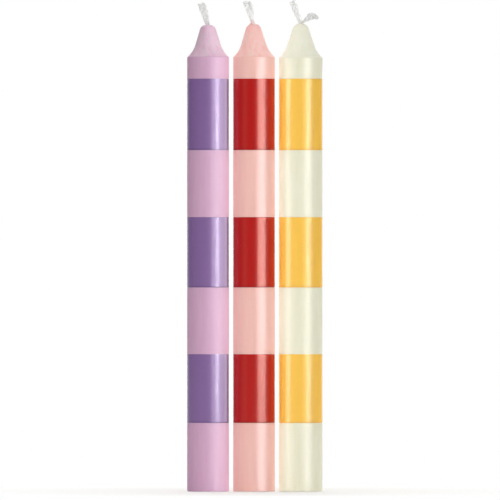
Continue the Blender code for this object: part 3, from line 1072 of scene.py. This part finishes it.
for candle in CANDLES:
    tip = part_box(f"{candle}_coat")[1].z
    labels = ("half_width", "half_thick", "free", "greyness")
    mesh = wire(f"{candle}_runs", braid_runs(candle), labels, closed=False)
    values = {
        "Strands": 3,
        "Plies": 12,
        "Straight Yarns": 6,
        "Plait Pitch": 0.0075,
        "Twist Pitch": 0.0060,
        "Strand Radius": 0.00048,
        "Ply Radius": 0.00011,
        "Yarn Radius": 0.00036,
        "Fray": 0.00014,
        "Fibres Per Area": 500000.0,
        "Seed": FIBRE_SEED + CANDLES.index(candle),
        "Bore Foot": (axis_of(candle), 0, WICK_SETBACK),
        "Bore Top": (axis_of(candle), 0, tip - BORE_CORD_BELOW_TIP),
        "Bore Radius": WICK_RADIUS - CORE_LAYER_GAP,
        "Cotton": waxed_cotton(candle, WICK_WAX[candle]),
    }
    wick = grown(f"{candle}_braided_wick", mesh, BRAID, values)
    wick.data.shade_smooth()
    dress(wick, candle, f"{candle}_wick", "wick")

# Floor
# A matt white sheet under the candles. It keeps their shadow close by and is plain white further
# off, so that it runs into the white background without a line.
FLOOR_RADIUS = 1.5
SHADOW_ENDS = 0.16
SHADOW_FADES_FROM = 0.05
WHITE_SHARE_BY_THE_BUTTS = 0.1
FLOOR_COLOUR = "F4F4F2"

bpy.ops.mesh.primitive_circle_add(vertices=96, radius=FLOOR_RADIUS, fill_type="NGON", location=(0, 0, 0))
floor = bpy.context.object
floor.name = "floor"
floor_finish, tree, out = new_finish("matt_white_sheet")
rays = add_node(tree, "ShaderNodeLightPath").outputs
seen = add_node(
    tree, "ShaderNodeMath", {0: rays["Is Camera Ray"], 1: rays["Is Glossy Ray"]}, operation="MAXIMUM"
)
seen = add_node(tree, "ShaderNodeMath", {0: seen, 1: rays["Is Transmission Ray"]}, operation="MAXIMUM")
place = add_node(tree, "ShaderNodeTexCoord").outputs["Object"]
away = add_node(tree, "ShaderNodeVectorMath", {0: place}, operation="LENGTH")
clear = add_node(
    tree,
    "ShaderNodeMapRange",
    {
        "Value": away.outputs["Value"],
        "From Min": SHADOW_FADES_FROM,
        "From Max": SHADOW_ENDS,
        "To Min": WHITE_SHARE_BY_THE_BUTTS,
    },
    interpolation_type="SMOOTHSTEP",
)
share = add_node(tree, "ShaderNodeMath", {0: seen, 1: clear}, operation="MULTIPLY")
matt = add_node(tree, "ShaderNodeBsdfDiffuse", {"Color": linear(FLOOR_COLOUR)})
white = add_node(tree, "ShaderNodeEmission", {"Strength": 1.0})
shader = add_node(tree, "ShaderNodeMixShader", {0: share, 1: matt, 2: white})
tree.links.new(shader.outputs[0], out.inputs["Surface"])
floor.data.materials.append(floor_finish)

# Studio
# A plain white room. Each candle has soft panels of its own, which its neighbours don't block, and
# the wicks share two more. One panel behind and one above light the whole row, and the last one
# lights the sheet alone.
ROOM_LEVEL = 0.25
DARK_SIDE_LEVEL = 0.04
PANEL_AWAY = 0.6
PANEL_HEIGHT = 0.9
PANEL_MIDDLE = 0.11
BACK_PANEL_WIDTH = 0.25
BACK_PANEL_WATTS = 2.6
CEILING_HEIGHT = 1.2
CEILING_PANEL_SIZE = 1.2
OVERHEAD_WATTS = 8.0
SHEET_WATTS = 9.0

world = bpy.data.worlds.new("white_studio")
bpy.context.scene.world = world
world.use_nodes = True
tree = world.node_tree
tree.nodes.clear()
out = tree.nodes.new("ShaderNodeOutputWorld")
# Plain white to the camera and, behind the row, to reflections. Other reflections find it dark.
rays = add_node(tree, "ShaderNodeLightPath").outputs
direction = add_node(tree, "ShaderNodeTexCoord").outputs["Generated"]
direction = add_node(tree, "ShaderNodeSeparateXYZ", {"Vector": direction})
behind = add_node(
    tree,
    "ShaderNodeMapRange",
    {"Value": direction.outputs["Y"], "From Min": 0.5, "From Max": 0.95},
    interpolation_type="SMOOTHSTEP",
)
glossy = add_node(tree, "ShaderNodeMath", {0: rays["Is Glossy Ray"], 1: behind}, operation="MULTIPLY")
seen = add_node(tree, "ShaderNodeMath", {0: rays["Is Camera Ray"], 1: glossy}, operation="MAXIMUM")
seen = add_node(tree, "ShaderNodeMath", {0: seen, 1: rays["Is Transmission Ray"]}, operation="MAXIMUM")
dim = add_node(
    tree,
    "ShaderNodeMapRange",
    {"Value": rays["Is Glossy Ray"], "To Min": ROOM_LEVEL, "To Max": DARK_SIDE_LEVEL},
)
level = add_node(tree, "ShaderNodeMix", {"Factor": seen, "A": dim, "B": 1.0}, data_type="FLOAT")
shader = add_node(tree, "ShaderNodeBackground", {"Color": (1, 1, 1, 1), "Strength": level})
tree.links.new(shader.outputs[0], out.inputs["Surface"])


def panel(name, place, width, height, watts):
    """A soft panel that faces the middle of the row."""
    light = bpy.data.lights.new(name, "AREA")
    light.shape = "RECTANGLE"
    light.size = width
    light.size_y = height
    light.energy = watts
    lamp = bpy.data.objects.new(name, light)
    bpy.context.scene.collection.objects.link(lamp)
    lamp.location = place
    toward = Vector((0, 0, PANEL_MIDDLE)) - lamp.location
    lamp.rotation_euler = toward.to_track_quat("-Z", "Y").to_euler()
    lamp.visible_camera = False
    return lamp


def round_the_row(azimuth):
    """A place at the panels' distance; the azimuth goes to the right from the camera's side."""
    turn = radians(azimuth)
    return Vector((PANEL_AWAY * sin(turn), -PANEL_AWAY * cos(turn), PANEL_MIDDLE))


# Azimuth in degrees, width in metres and watts: "fill" panels shade a candle, "mirrored" ones are
# what its wax reflects
GROUP_PANELS = {
    "lavender": (
        ("fill", 5, 0.25, 1.5),
        ("fill", 45, 0.25, 0.9),
        ("mirrored", 51, 0.20, 8.4),
        ("mirrored", 50, 0.80, 16.0),
        ("mirrored", 105, 0.50, 6.6),
    ),
    "pink": (
        ("fill", -52, 0.25, 2.6),
        ("fill", 51, 0.25, 3.1),
        ("mirrored", 43, 0.50, 17.5),
    ),
    "ivory": (
        ("fill", -62, 0.20, 3.6),
        ("fill", 50, 0.25, 2.6),
        ("mirrored", 41, 0.18, 4.4),
        ("mirrored", 40, 0.50, 4.9),
        ("mirrored", -69, 0.28, 5.0),
    ),
    "wicks": (("fill", -60, 0.30, 1.6), ("fill", 55, 0.30, 3.2)),
}
for group, panels in GROUP_PANELS.items():
    for number, (use, azimuth, width, watts) in enumerate(panels):
        lamp = panel(f"{group}_{use}_panel_{number}", round_the_row(azimuth), width, PANEL_HEIGHT, watts)
        lamp.visible_glossy = use == "mirrored"
        lamp.visible_diffuse = use == "fill"
        lamp.light_linking.receiver_collection = LIT_GROUPS[group]
        lamp.light_linking.blocker_collection = LIT_GROUPS["row" if group == "wicks" else group]

panel("back_panel", round_the_row(180), BACK_PANEL_WIDTH, PANEL_HEIGHT, BACK_PANEL_WATTS)
ceiling = Vector((0, 0, CEILING_HEIGHT))
panel("overhead_panel", ceiling, CEILING_PANEL_SIZE, CEILING_PANEL_SIZE, OVERHEAD_WATTS)
sheet_panel = panel("sheet_panel", ceiling, CEILING_PANEL_SIZE, CEILING_PANEL_SIZE, SHEET_WATTS)
sheet_panel.light_linking.receiver_collection = bpy.data.collections.new("sheet_lit_group")
sheet_panel.light_linking.receiver_collection.objects.link(floor)

bpy.context.scene.view_settings.view_transform = "Standard"
